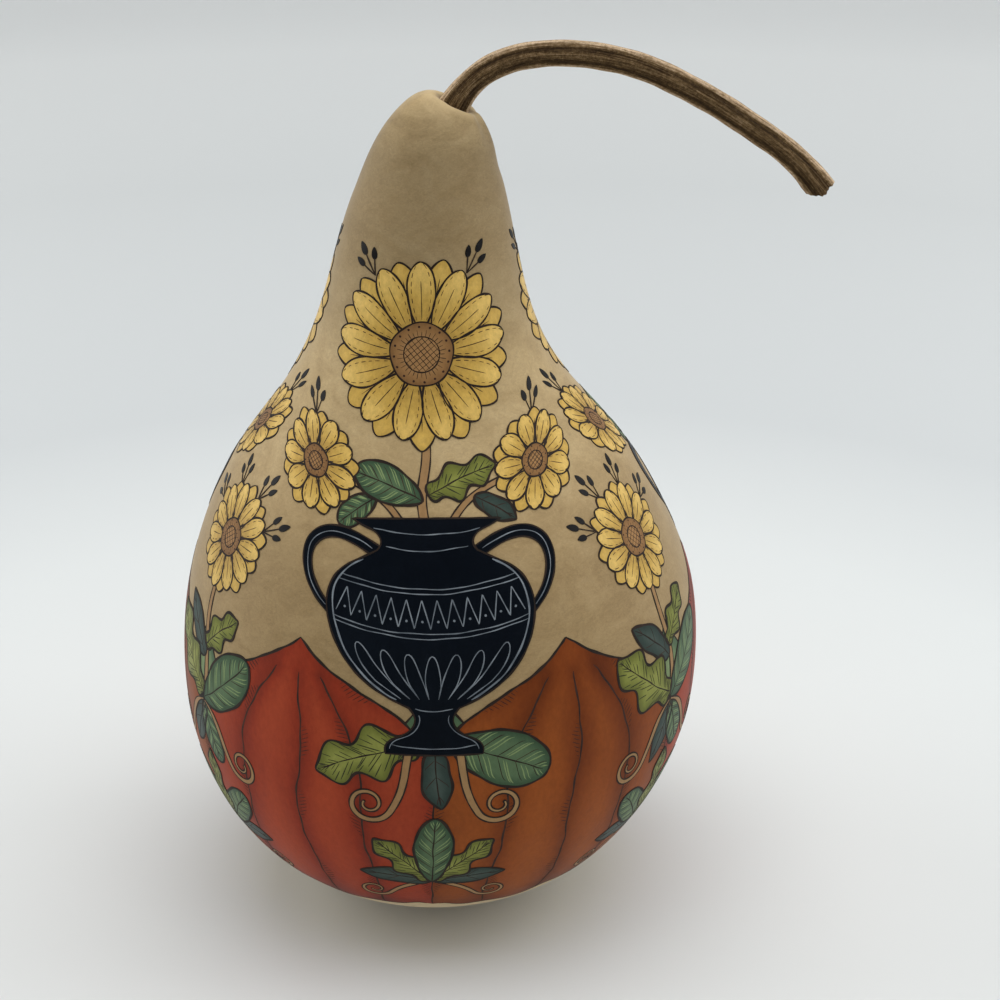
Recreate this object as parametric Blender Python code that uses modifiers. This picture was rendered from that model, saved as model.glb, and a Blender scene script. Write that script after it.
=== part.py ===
"""A dried pear-shaped gourd that stands on a flat spot, with its long arched stem.

Metres, +Z up. The origin is the middle of the flat spot, +X is the side that the stem leans to,
and -Y is the front. The fruit and its stem are two solids. The stem's foot is sunk in the crown.
"""

import math

import bmesh
import bpy
import numpy as np

MM = 0.001

# Driving dimensions of the fruit, in mm: height, radius, and how far its middle leans to +X.
STATIONS = (
    (0.0, 18.0, 0.0),  # edge of the flat spot
    (2.0, 25.5, 0.0),
    (7.0, 40.5, -0.5),
    (15.0, 56.0, -0.5),
    (25.0, 68.0, -0.5),
    (50.0, 84.5, 0.0),
    (75.0, 92.0, 1.0),
    (100.0, 93.0, 1.5),  # belly
    (125.0, 89.5, 1.5),
    (145.0, 82.5, 0.5),
    (165.0, 72.5, -0.5),
    (185.0, 57.5, -1.5),
    (205.0, 43.5, -2.5),  # waist
    (230.0, 34.0, -2.5),
    (255.0, 28.0, -1.5),  # neck
    (275.0, 21.0, 1.5),
    (286.0, 15.0, 5.5),
    (292.0, 9.5, 7.5),  # shoulder of the crown
)
CROWN_HEIGHT = 293.0
CROWN_LEAN = 8.0
LIP_RADIUS = 7.2  # rim of the dimple that the stem stands in
DIMPLE_DEPTH = 3.6
DIMPLE_FLOOR_RADIUS = 4.2
CROWN_TILT_DEG = 26.0  # the crown slopes down towards +X
CROWN_TILT_FROM = 263.0  # height where that slope begins
PUCKERS = 7  # folds that run down from the rim of the dimple
PUCKER_DEPTH = 0.45
PUCKER_REACH = 14.0  # height over which the folds fade out
BODY_SIDES = 64
BODY_RINGS = 52
RING_CROWDING = 1.4  # above 1, the rings lie closer together towards the crown

# Driving dimensions of the stem, in mm: its middle line in the XZ plane, from its sunk foot.
STEM_LINE = (
    (5.0, 285.5),
    (8.0, 292.5),
    (16.0, 302.0),
    (28.5, 308.0),
    (44.0, 309.5),
    (63.0, 307.0),
    (87.0, 297.0),
    (111.0, 282.0),
    (123.5, 272.0),
    (130.5, 264.0),
)
STEM_RADIUS = 4.15
STEM_FOOT_RADIUS = 5.3
STEM_TIP_RADIUS = 4.7
FOOT_FLARE_LENGTH = 11.0
TIP_FLARE_LENGTH = 16.0
STEM_RIDGES = 5
RIDGE_HEIGHT = 0.38
STEM_SECTION_POINTS = 30
STEM_RINGS = 46
SOCKET_GAP = 0.35  # clearance between the stem's foot and the fruit

COLOURS = {
    "gourd": ((0.46, 0.36, 0.23), 0.55),
    "stem": ((0.16, 0.10, 0.055), 0.75),
}


def clear_scene():
    for old in list(bpy.data.objects):
        bpy.data.objects.remove(old)


def make_collection(name):
    made = bpy.data.collections.new(name)
    bpy.context.scene.collection.children.link(made)
    return made


def make_material(name):
    colour, roughness = COLOURS[name]
    made = bpy.data.materials.new(name)
    made.use_nodes = True
    shader = made.node_tree.nodes["Principled BSDF"]
    shader.inputs["Base Color"].default_value = (*colour, 1.0)
    shader.inputs["Roughness"].default_value = roughness
    shader.inputs["Metallic"].default_value = 0.0
    return made


def smoothstep(low, high, value):
    t = np.clip((value - low) / (high - low), 0.0, 1.0)
    return t * t * (3.0 - 2.0 * t)


def spline(points, count, crowding=1.0):
    """count points along a natural cubic spline, evenly spaced or crowded towards its end."""
    points = np.array(points, float)
    knots = np.concatenate([[0.0], np.cumsum(np.linalg.norm(np.diff(points, axis=0), axis=1))])
    gaps = np.diff(knots)
    last = len(knots) - 1
    system = np.eye(last + 1)
    slopes = np.diff(points, axis=0) / gaps[:, None]
    turns = np.zeros_like(points)
    for i in range(1, last):
        system[i, i - 1 : i + 2] = gaps[i - 1], 2.0 * (gaps[i - 1] + gaps[i]), gaps[i]
        turns[i] = 6.0 * (slopes[i] - slopes[i - 1])
    bends = np.linalg.solve(system, turns)
    wanted = knots[-1] * (1.0 - (1.0 - np.linspace(0.0, 1.0, count)) ** crowding)
    k = np.clip(np.searchsorted(knots, wanted, side="right") - 1, 0, last - 1)
    d = (wanted - knots[k])[:, None]
    gap = gaps[k][:, None]
    start_slope = slopes[k] - gap * (2.0 * bends[k] + bends[k + 1]) / 6.0
    curved = d**2 * bends[k] / 2.0 + d**3 * (bends[k + 1] - bends[k]) / (6.0 * gap)
    return points[k] + d * start_slope + curved


def fruit_profile():
    """Rows of radius, height and lean, from the flat spot up to the floor of the dimple, in mm."""
    outer = [(radius, height, lean) for height, radius, lean in STATIONS]
    inner = [
        (LIP_RADIUS, CROWN_HEIGHT, CROWN_LEAN),
        (0.5 * (LIP_RADIUS + DIMPLE_FLOOR_RADIUS), CROWN_HEIGHT - 0.45 * DIMPLE_DEPTH, CROWN_LEAN),
        (DIMPLE_FLOOR_RADIUS, CROWN_HEIGHT - DIMPLE_DEPTH, CROWN_LEAN),
    ]
    return spline(outer + inner, BODY_RINGS, RING_CROWDING)


def grown(points, profile):
    """Leans, tilts and puckers the turned fruit, as it grew. points are rows of X, Y, Z in mm."""
    x, y, z = points.T
    radius = np.hypot(x, y)
    angle = np.arctan2(y, x)
    outside = smoothstep(0.6 * LIP_RADIUS, 1.1 * LIP_RADIUS, radius)
    near_crown = smoothstep(CROWN_HEIGHT - PUCKER_REACH, CROWN_HEIGHT, z) * outside
    fold = PUCKER_DEPTH * near_crown * np.cos(PUCKERS * angle + 0.8 * np.sin(angle))
    wider = 1.0 + fold / np.maximum(radius, LIP_RADIUS)
    tilt = math.tan(math.radians(CROWN_TILT_DEG)) * smoothstep(CROWN_TILT_FROM, CROWN_HEIGHT, z)
    top = profile[:, 1].argmax()
    lean = np.interp(z, profile[: top + 1, 1], profile[: top + 1, 2])
    in_dimple = (radius < LIP_RADIUS) & (z > CROWN_TILT_FROM)
    lean = np.where(in_dimple, CROWN_LEAN, lean)
    return np.stack([x * wider + lean, y * wider, z - tilt * x], axis=1)


def apply_modifiers(obj):
    """A new object with the mesh that obj's modifiers give, in place of obj."""
    graph = bpy.context.evaluated_depsgraph_get()
    mesh = bpy.data.meshes.new_from_object(obj.evaluated_get(graph))
    made = bpy.data.objects.new(obj.name + "_made", mesh)
    made.matrix_world = obj.matrix_world
    bpy.data.objects.remove(obj)
    return made


def make_gourd(collection):
    """The fruit: a turned profile, then leaned and puckered."""
    profile = fruit_profile()
    line = [(0.0, 0.0), *profile[:, :2], (0.0, profile[-1, 1])][::-1]
    mesh = bpy.data.meshes.new("gourd_profile")
    mesh.from_pydata([(r * MM, 0.0, z * MM) for r, z in line], [(i, i + 1) for i in range(len(line) - 1)], [])
    turned = bpy.data.objects.new("gourd_profile", mesh)
    collection.objects.link(turned)
    screw = turned.modifiers.new("Turn", "SCREW")
    screw.axis = "Z"
    screw.steps = screw.render_steps = BODY_SIDES
    screw.use_merge_vertices = True
    screw.merge_threshold = 0.0001
    gourd = apply_modifiers(turned)
    gourd.name = gourd.data.name = "gourd"
    points = np.array([v.co for v in gourd.data.vertices]) / MM
    gourd.data.vertices.foreach_set("co", (grown(points, profile) * MM).ravel())
    gourd.data.shade_smooth()
    gourd.data.materials.append(make_material("gourd"))
    collection.objects.link(gourd)
    return gourd


def stem_section(name, extra, collection):
    """Closed outline of the stem's ribbed section at a radius of 1 mm, as a bevel for its middle line."""
    curve = bpy.data.curves.new(name, "CURVE")
    outline = curve.splines.new("POLY")
    outline.points.add(STEM_SECTION_POINTS - 1)
    outline.use_cyclic_u = True
    for i, point in enumerate(outline.points):
        angle = 2.0 * math.pi * i / STEM_SECTION_POINTS
        ridge = RIDGE_HEIGHT * (2.0 * abs(math.cos(0.5 * STEM_RIDGES * angle)) ** 2.5 - 0.8)
        radius = (STEM_RADIUS + ridge + extra) / STEM_RADIUS
        point.co = (radius * math.cos(angle) * MM, radius * math.sin(angle) * MM, 0.0, 1.0)
    section = bpy.data.objects.new(name, curve)
    section.hide_render = True
    section.display_type = "WIRE"
    collection.objects.link(section)
    return section


def stem_radius(along, length):
    """Radius of the stem at a distance along it: flared at the foot and at the cut tip."""
    foot = (STEM_FOOT_RADIUS - STEM_RADIUS) * (1.0 - smoothstep(0.0, FOOT_FLARE_LENGTH, along))
    tip = (STEM_TIP_RADIUS - STEM_RADIUS) * smoothstep(length - TIP_FLARE_LENGTH, length, along)
    return STEM_RADIUS + foot + tip


def stem_tube(name, section, collection):
    """The section swept along the stem's middle line, with closed ends, as a mesh."""
    line = spline(STEM_LINE, STEM_RINGS)
    along = np.concatenate([[0.0], np.cumsum(np.linalg.norm(np.diff(line, axis=0), axis=1))])
    curve = bpy.data.curves.new(name, "CURVE")
    curve.dimensions = "3D"
    curve.bevel_mode = "OBJECT"
    curve.bevel_object = section
    curve.use_fill_caps = True
    path = curve.splines.new("POLY")
    path.points.add(STEM_RINGS - 1)
    for point, (x, z), distance in zip(path.points, line, along):
        point.co = (x * MM, 0.0, z * MM, 1.0)
        point.radius = stem_radius(distance, along[-1])
    swept = bpy.data.objects.new(name, curve)
    collection.objects.link(swept)
    made = apply_modifiers(swept)
    made.name = made.data.name = name
    weld_caps(made.data)
    collection.objects.link(made)
    return made


def weld_caps(mesh):
    shape = bmesh.new()
    shape.from_mesh(mesh)
    bmesh.ops.remove_doubles(shape, verts=shape.verts, dist=0.00001)
    bmesh.ops.recalc_face_normals(shape, faces=shape.faces)
    shape.to_mesh(mesh)
    shape.free()


def make_stem(collection, guides):
    section = stem_section("stem_section", 0.0, guides)
    stem = stem_tube("stem", section, collection)
    stem.data.shade_smooth()
    stem.data.set_sharp_from_angle(angle=math.radians(50.0))
    stem.data.materials.append(make_material("stem"))
    return stem


def cut_socket(gourd, guides):
    """Opens the crown round the stem's foot, with a small clearance."""
    section = stem_section("socket_section", SOCKET_GAP, guides)
    cutter = stem_tube("socket_cutter", section, guides)
    cutter.hide_render = True
    cutter.display_type = "WIRE"
    cut = gourd.modifiers.new("Socket", "BOOLEAN")
    cut.operation = "DIFFERENCE"
    cut.solver = "EXACT"
    cut.object = cutter


def main():
    clear_scene()
    parts = make_collection("painted_gourd")
    guides = make_collection("guides")
    gourd = make_gourd(parts)
    make_stem(parts, guides)
    cut_socket(gourd, guides)


main()
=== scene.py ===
"""The looks of a dried, painted gourd: its rind, its dry stem, and the paint and burned lines on it.

Shapes are worked out in mm, and each mesh is made in metres. A place on the rind is a turn, in
radians from the front (-Y) towards +X, and a reach, in mm along the rind from the middle of the
flat spot. Motifs are drawn on flat sheets, x to the right and y up, that are then laid on the rind.
Each colour of paint is a closed film of its own, a few hundredths of a mm above the one below it.
"""

import math

import bpy
import numpy as np
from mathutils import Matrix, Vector
from mathutils.geometry import delaunay_2d_cdt


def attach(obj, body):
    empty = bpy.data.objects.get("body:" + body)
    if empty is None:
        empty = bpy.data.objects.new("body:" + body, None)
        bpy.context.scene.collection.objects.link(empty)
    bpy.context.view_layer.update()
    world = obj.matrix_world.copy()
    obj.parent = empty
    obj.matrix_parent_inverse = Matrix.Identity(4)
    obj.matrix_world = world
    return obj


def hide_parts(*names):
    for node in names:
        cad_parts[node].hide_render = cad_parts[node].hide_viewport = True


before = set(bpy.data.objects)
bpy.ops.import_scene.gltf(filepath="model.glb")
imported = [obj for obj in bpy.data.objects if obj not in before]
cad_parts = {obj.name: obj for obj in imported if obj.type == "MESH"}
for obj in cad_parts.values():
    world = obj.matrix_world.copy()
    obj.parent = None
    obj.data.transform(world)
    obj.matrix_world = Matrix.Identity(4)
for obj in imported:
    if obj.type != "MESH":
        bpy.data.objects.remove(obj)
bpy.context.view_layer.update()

MM = 0.001
RNG = np.random.default_rng(11)

# The fruit, as in the solid: height, radius, and how far its middle leans to +X, in mm.
STATIONS = (
    (0.0, 18.0, 0.0), (2.0, 25.5, 0.0), (7.0, 40.5, -0.5), (15.0, 56.0, -0.5), (25.0, 68.0, -0.5),
    (50.0, 84.5, 0.0), (75.0, 92.0, 1.0), (100.0, 93.0, 1.5), (125.0, 89.5, 1.5), (145.0, 82.5, 0.5),
    (165.0, 72.5, -0.5), (185.0, 57.5, -1.5), (205.0, 43.5, -2.5), (230.0, 34.0, -2.5),
    (255.0, 28.0, -1.5), (275.0, 21.0, 1.5), (286.0, 15.0, 5.5), (292.0, 9.5, 7.5),
)
CROWN_HEIGHT = 293.0
CROWN_LEAN = 8.0
LIP_RADIUS = 7.2
DIMPLE_DEPTH = 1.0  # the rind closes in on the stem, above the solid's deeper dimple
DIMPLE_FLOOR_RADIUS = 4.2
CROWN_TILT_DEG = 26.0
CROWN_TILT_FROM = 263.0
PUCKERS = 7
PUCKER_DEPTH = 0.45
PUCKER_REACH = 14.0
PROFILE_ROWS = 1600
SKIN_SIDES = 240
BODY_RING_STEP = 2.0
CROWN_RING_STEP = 0.7
CROWN_RINGS_FROM = 258.0

# The stem, as in the solid: its middle line in the XZ plane, in mm.
STEM_LINE = (
    (5.0, 285.5), (8.0, 292.5), (16.0, 302.0), (28.5, 308.0), (44.0, 309.5),
    (63.0, 307.0), (87.0, 297.0), (111.0, 282.0), (123.5, 272.0), (130.5, 264.0),
)
STEM_RADIUS = 4.15
STEM_FOOT_RADIUS = 5.6
STEM_TIP_RADIUS = 4.7
FOOT_FLARE_LENGTH = 17.0
TIP_FLARE_LENGTH = 16.0
STEM_RIDGES = 5
RIDGE_HEIGHT = 0.38
STEM_CRESTS = (  # where each rib lies, in degrees, and its share of the ribs' height
    (0.0, 0.28), (66.0, 1.0), (144.0, 0.8), (216.0, 0.8), (285.0, 0.9),
)
CUT_LENGTH = 7.0
CUT_SLANT = ((-1.0, -1.7), (-0.2, 1.3), (1.0, 0.3))  # height as a share of the radius, and how far it juts
CUT_RINGS = ((0.90, 0.15), (0.78, 0.55), (0.5, 1.1), (0.24, 1.7))  # share of the cut end's radius, and depth
STEM_RINGS = 300
STEM_SIDES = 120

# Paint levels: how far each film and each burned line stands above the rind, in mm.
FIRST_LIFT = 0.05
LEVEL_STEP = 0.04
LINE_RISE = 0.022
SUNK = -0.08  # the underside of every film and line, inside the rind
OUTLINE = 0.88  # the usual width of a burned outline

FULL_TURN = 2.0 * math.pi
PHASES = 6.28  # the range of a random phase
PETALS = 6
SECTOR = FULL_TURN / PETALS
BOUQUETS = 3


def smoothstep(low, high, value):
    t = np.clip((value - low) / (high - low), 0.0, 1.0)
    return t * t * (3.0 - 2.0 * t)


def unit(vectors):
    return vectors / np.maximum(np.linalg.norm(vectors, axis=-1, keepdims=True), 1e-9)


def left_of(path):
    """Directions square to a path, to its left."""
    along = np.gradient(path, axis=0)
    return unit(np.stack([-along[:, 1], along[:, 0]], axis=1))


def round_turns(count):
    """Evenly spaced angles, once round."""
    return np.linspace(0.0, FULL_TURN, count, endpoint=False)


def on_circle(angles):
    return np.stack([np.cos(angles), np.sin(angles)], axis=-1)


def heading(angle_deg):
    """The direction at an angle that is counted anticlockwise from straight up."""
    a = math.radians(angle_deg)
    return np.array([-math.sin(a), math.cos(a)])


def spline(points, count):
    """count evenly spaced points along a natural cubic spline."""
    points = np.array(points, float)
    knots = np.concatenate([[0.0], np.cumsum(np.linalg.norm(np.diff(points, axis=0), axis=1))])
    gaps = np.diff(knots)
    last = len(knots) - 1
    system = np.eye(last + 1)
    slopes = np.diff(points, axis=0) / gaps[:, None]
    turns = np.zeros_like(points)
    for i in range(1, last):
        system[i, i - 1 : i + 2] = gaps[i - 1], 2.0 * (gaps[i - 1] + gaps[i]), gaps[i]
        turns[i] = 6.0 * (slopes[i] - slopes[i - 1])
    bends = np.linalg.solve(system, turns)
    wanted = knots[-1] * np.linspace(0.0, 1.0, count)
    k = np.clip(np.searchsorted(knots, wanted, side="right") - 1, 0, last - 1)
    d = (wanted - knots[k])[:, None]
    gap = gaps[k][:, None]
    start_slope = slopes[k] - gap * (2.0 * bends[k] + bends[k + 1]) / 6.0
    curved = d**2 * bends[k] / 2.0 + d**3 * (bends[k + 1] - bends[k]) / (6.0 * gap)
    return points[k] + d * start_slope + curved


def distances_along(points):
    steps = np.linalg.norm(np.diff(points, axis=0), axis=1)
    return np.concatenate([[0.0], np.cumsum(steps)])


def fruit_profile():
    """Rows of radius, height and lean, from the flat spot up to the floor of the dimple."""
    outer = [(radius, height, lean) for height, radius, lean in STATIONS]
    inner = [
        (LIP_RADIUS, CROWN_HEIGHT, CROWN_LEAN),
        (0.5 * (LIP_RADIUS + DIMPLE_FLOOR_RADIUS), CROWN_HEIGHT - 0.35 * DIMPLE_DEPTH, CROWN_LEAN),
        (DIMPLE_FLOOR_RADIUS, CROWN_HEIGHT - DIMPLE_DEPTH, CROWN_LEAN),
    ]
    return spline(outer + inner, PROFILE_ROWS)


PROFILE = fruit_profile()
REACH = PROFILE[0, 0] + distances_along(PROFILE[:, :2])
TOP_ROW = PROFILE[:, 1].argmax()


def radius_at(reach):
    return np.interp(reach, np.r_[0.0, REACH], np.r_[0.0, PROFILE[:, 0]])


def height_at(reach):
    return np.interp(reach, np.r_[0.0, REACH], np.r_[0.0, PROFILE[:, 1]])


def reach_at(height):
    return np.interp(height, PROFILE[: TOP_ROW + 1, 1], REACH[: TOP_ROW + 1])


def uneven(turn, height):
    """How far the rind stands proud of the turned shape: a fruit is never quite round."""
    fade = smoothstep(6.0, 45.0, height) * (1.0 - smoothstep(255.0, 282.0, height))
    waves = 0.20 * np.cos(2.0 * turn + 0.9) + 0.16 * np.cos(3.0 * turn - height / 52.0)
    ripples = 0.09 * np.cos(5.0 * turn + height / 31.0 + 2.0) + 0.07 * np.cos(height / 13.0 + 2.0 * turn)
    return fade * (waves + ripples)


def grown(x, y, z):
    """Leans, tilts and puckers the turned fruit, as in the solid."""
    radius = np.hypot(x, y)
    angle = np.arctan2(y, x)
    outside = smoothstep(0.6 * LIP_RADIUS, 1.1 * LIP_RADIUS, radius)
    near_crown = smoothstep(CROWN_HEIGHT - PUCKER_REACH, CROWN_HEIGHT, z) * outside
    fold = PUCKER_DEPTH * near_crown * np.cos(PUCKERS * angle + 0.8 * np.sin(angle))
    wider = 1.0 + fold / np.maximum(radius, LIP_RADIUS)
    tilt = math.tan(math.radians(CROWN_TILT_DEG)) * smoothstep(CROWN_TILT_FROM, CROWN_HEIGHT, z)
    lean = np.interp(z, PROFILE[: TOP_ROW + 1, 1], PROFILE[: TOP_ROW + 1, 2])
    in_dimple = (radius < LIP_RADIUS) & (z > CROWN_TILT_FROM)
    lean = np.where(in_dimple, CROWN_LEAN, lean)
    return np.stack([x * wider + lean, y * wider, z - tilt * x], axis=-1)


def rind_at(turn, reach):
    """Points on the rind, in mm."""
    height = height_at(reach)
    radius = radius_at(reach) + uneven(turn, height)
    angle = turn - 0.5 * math.pi
    return grown(radius * np.cos(angle), radius * np.sin(angle), height)


def rind_normal(turn, reach):
    side = rind_at(turn + 0.001, reach) - rind_at(turn - 0.001, reach)
    up = rind_at(turn, reach + 0.05) - rind_at(turn, reach - 0.05)
    return unit(np.cross(side, up))


def lifted(turn, reach, lift):
    return rind_at(turn, reach) + lift * rind_normal(turn, reach)


def sheet_at(turn_deg, height):
    """A flat sheet laid on the rind with its origin at that turn and height, as a call that places points."""
    turn = math.radians(turn_deg)
    reach = reach_at(height)

    def place(points):
        points = np.asarray(points, float)
        along = reach + points[:, 1]
        return turn + points[:, 0] / radius_at(along), along

    return place


def level_lift(level):
    return FIRST_LIFT + LEVEL_STEP * level


class Coat:
    """The faces of one colour of paint, or of one kind of line, until its mesh is made."""

    def __init__(self, name):
        self.name = name
        self.points = []
        self.faces = []
        self.shades = []
        self.count = 0

    def add(self, points, faces, shade=0.5):
        points = np.asarray(points).reshape(-1, 3)
        self.points.append(points)
        self.faces.extend(group + self.count for group in faces)
        self.shades.append(np.broadcast_to(shade, len(points)))
        self.count += len(points)

    def make(self, material):
        values = {"shade": np.concatenate(self.shades)}
        return make_piece(self.name, np.concatenate(self.points), self.faces, values, material)


def make_mesh(name, points, faces, material):
    """A mesh object from points in metres and from groups of faces."""
    mesh = bpy.data.meshes.new(name)
    mesh.from_pydata(points.tolist(), [], [face for group in faces for face in group.tolist()])
    mesh.materials.append(material)
    made = bpy.data.objects.new(name, mesh)
    bpy.context.scene.collection.objects.link(made)
    return made


def make_piece(name, points, faces, values, material):
    piece = make_mesh(name, points * MM, faces, material)
    for key, numbers in values.items():
        flat = np.ascontiguousarray(numbers, dtype=np.float32)
        kind, field = ("FLOAT", "value") if flat.ndim == 1 else ("FLOAT_VECTOR", "vector")
        piece.data.attributes.new(key, kind, "POINT").data.foreach_set(field, flat.ravel())
    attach(piece, "root")
    return piece


def ring_walls(rings, sides):
    """Four-cornered faces between closed rings of points that follow each other."""
    ring, k = np.meshgrid(sides * np.arange(rings - 1), np.arange(sides), indexing="ij")
    ahead = (k + 1) % sides
    quads = np.stack([ring + k, ring + ahead, ring + sides + ahead, ring + sides + k], axis=-1)
    return quads.reshape(-1, 4)


def fan(sides, middle, first=0):
    """Faces from a ring of points to the one in its middle."""
    k = np.arange(sides)
    return np.stack([first + (k + 1) % sides, first + k, np.full(sides, middle)], axis=1)


def flipped(faces):
    """The same faces, seen from their other side."""
    return np.roll(faces[:, ::-1], 1, axis=1)


def closed_loop_area(outline):
    x, y = outline.T
    return 0.5 * np.sum(x * np.roll(y, -1) - y * np.roll(x, -1))


def path_distance(points, path):
    """Distance of each point to an open path."""
    start, span = path[None, :-1], np.diff(path, axis=0)[None]
    offset = points[:, None] - start
    share = (offset * span).sum(-1) / np.maximum((span**2).sum(-1), 1e-9)
    nearest = offset - np.clip(share, 0.0, 1.0)[..., None] * span
    return np.sqrt((nearest**2).sum(-1)).min(1)


def edge_distance(points, outline):
    """Distance of each point to a closed outline."""
    return path_distance(points, np.vstack([outline, outline[:1]]))


def is_inside(points, outline):
    x, y = points[:, 0, None], points[:, 1, None]
    x0, y0 = outline.T
    x1, y1 = np.roll(outline, -1, axis=0).T
    crosses = (y0 > y) != (y1 > y)
    height = np.where(y1 == y0, 1.0, y1 - y0)
    left = x < x0 + (y - y0) * (x1 - x0) / height
    return (crosses & left).sum(1) % 2 == 1


def inner_points(outline, grain):
    """A triangular grid of points inside the outline, clear of its edge."""
    low, high = outline.min(0), outline.max(0)
    rows = np.arange(low[1], high[1], grain * 0.866)
    columns = np.arange(low[0], high[0] + grain, grain)
    x, y = np.meshgrid(columns, rows)
    x = x + 0.5 * grain * (np.arange(len(rows)) % 2)[:, None]
    grid = np.stack([x.ravel(), y.ravel()], axis=1)
    grid = grid[is_inside(grid, outline)]
    return grid[edge_distance(grid, outline) > 0.55 * grain]


def fine_outline(outline, longest=1.6):
    """The closed outline with points added along its long sides, so that a film follows the rind."""
    points = []
    for start, end in zip(outline, np.roll(outline, -1, axis=0)):
        count = max(1, math.ceil(np.linalg.norm(end - start) / longest))
        points.extend(start + (end - start) * k / count for k in range(count))
    return np.array(points)


def fill(coat, place, outline, level, grain=2.0, shade=None):
    """A closed film of paint inside an outline. shade takes points and how far they are from the edge."""
    outline = fine_outline(np.asarray(outline, float))
    if closed_loop_area(outline) < 0.0:
        outline = outline[::-1]
    points = np.vstack([outline, inner_points(outline, grain)])
    made = delaunay_2d_cdt([Vector(p) for p in points], [], [list(range(len(outline)))], 1, 1e-6)
    points = np.array([p[:] for p in made[0]])
    faces = np.array(made[2])
    a, b, c = (points[faces[:, i]] for i in range(3))
    twice = (b[:, 0] - a[:, 0]) * (c[:, 1] - a[:, 1]) - (b[:, 1] - a[:, 1]) * (c[:, 0] - a[:, 0])
    faces = np.where((twice < 0.0)[:, None], faces[:, ::-1], faces)
    films = [lifted(*place(points), lift) for lift in (level_lift(level), SUNK)]
    edges = np.concatenate([faces[:, [0, 1]], faces[:, [1, 2]], faces[:, [2, 0]]]).tolist()
    known = {tuple(edge) for edge in edges}
    rim = np.array([edge for edge in edges if (edge[1], edge[0]) not in known])
    walls = np.hstack([rim[:, ::-1], rim + len(points)])
    tone = np.tile(shade(points, edge_distance(points, outline)), 2) if shade else 0.5
    coat.add(films, (faces, faces[:, ::-1] + len(points), walls), tone)


def resample(path, step):
    path = np.asarray(path, float)
    along = distances_along(path)
    count = max(2, int(round(along[-1] / step)) + 1)
    wanted = np.linspace(0.0, along[-1], count)
    return np.stack([np.interp(wanted, along, path[:, i]) for i in range(2)], axis=1)


def add_strip(coat, left, right, normal, lift):
    """A closed strip between two lines on the rind, from inside the rind up to its lift."""
    low, high = SUNK * normal, lift * normal
    rings = np.stack([left + low, left + high, right + high, right + low], axis=1)
    last = 4 * len(rings) - 4
    ends = np.array([[3, 2, 1, 0], [last, last + 1, last + 2, last + 3]])
    coat.add(rings, (ring_walls(len(rings), 4), ends))


def stroke(coat, place, path, width, level, step=1.1, taper=0.5, rise=LINE_RISE):
    """A line of varying weight along a path, as a closed strip that follows the rind."""
    path = resample(path, step)
    where = place(path)
    middle, normal = rind_at(*where), rind_normal(*where)
    side = unit(np.cross(normal, np.gradient(middle, axis=0)))
    t = np.linspace(0.0, 1.0, len(path))
    length = step * len(path)
    ends = taper + (1.0 - taper) * smoothstep(0.0, 1.0, np.minimum(t, 1.0 - t) * length / 2.0)
    phase = RNG.uniform(0.0, PHASES, 3)
    weight = 1.0 + 0.17 * np.sin(t * length / 2.7 + phase[0]) + 0.13 * np.sin(t * length / 1.1 + phase[1])
    half = (0.5 * width * ends * weight)[:, None] * side
    add_strip(coat, middle + half, middle - half, normal, level_lift(level) + rise)


def dashes(coat, place, path, width, level, dash=2.4, gap=1.2):
    path = resample(path, 0.4)
    along = distances_along(path)
    start = 0.5 * gap
    while start + 0.5 * dash < along[-1]:
        chosen = path[(along >= start) & (along <= start + dash * RNG.uniform(0.8, 1.2))]
        if len(chosen) > 2:
            stroke(coat, place, chosen, width, level, step=0.8, taper=0.7)
        start += dash + gap * RNG.uniform(0.8, 1.3)


def dot(coat, place, centre, radius, level, rise, sides):
    """A small round blob of paint."""
    angles = round_turns(sides)
    circle = on_circle(angles) * (1.0 + 0.06 * np.sin(2.0 * angles + RNG.uniform(0.0, PHASES)))[:, None]
    lift = level_lift(level) + LINE_RISE
    rows = ((1.0, SUNK), (1.0, lift), (0.72, lift + 0.6 * rise), (0.36, lift + rise))
    points = [lifted(*place(centre + radius * share * circle), height) for share, height in rows]
    points += [lifted(*place(np.array([centre])), height) for height in (SUNK, lift + rise)]
    under = len(rows) * sides
    top = fan(sides, under + 1, under - sides)
    coat.add(np.concatenate(points), (ring_walls(len(rows), sides), flipped(top), fan(sides, under)))


def put(points, angle_deg, at):
    """Turns points about the origin, then moves them."""
    a = math.radians(angle_deg)
    return points @ np.array([[math.cos(a), math.sin(a)], [-math.sin(a), math.cos(a)]]) + at


def curve(points, step=1.0):
    """A smooth path through given points."""
    points = np.array(points, float)
    length = distances_along(points)[-1]
    return spline(points, max(6, int(length / step)))


def bezier(a, b, c, d, count=24):
    t = np.linspace(0.0, 1.0, count)[:, None]
    a, b, c, d = (np.array(p, float) for p in (a, b, c, d))
    return (1 - t) ** 3 * a + 3 * (1 - t) ** 2 * t * b + 3 * (1 - t) * t**2 * c + t**3 * d


def shaky(path, size=0.25):
    """The path with the small sideways wander of a hand-drawn line. Its ends stay."""
    path = np.asarray(path, float)
    along = distances_along(path)
    phase = RNG.uniform(0.0, PHASES, 3)
    wander = np.sin(along / 3.1 + phase[0]) + np.sin(along / 7.0 + phase[2])
    wander += 0.6 * np.sin(along / 1.7 + phase[1])
    ends = smoothstep(0.0, 3.0, np.minimum(along, along[-1] - along))
    return path + (size * 0.5 * wander * ends)[:, None] * left_of(path)


def band_outline(path, width, tip=1.0, root=1.0):
    """Both edges of a band of paint along a path, with its width at the root and at the tip as shares."""
    t = np.linspace(0.0, 1.0, len(path))
    share = (1.0 - (1.0 - tip) * t**1.5) * (root + (1.0 - root) * smoothstep(0.0, 0.18, t))
    half = (0.5 * width * share)[:, None] * left_of(path)
    return path + half, path - half


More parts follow.
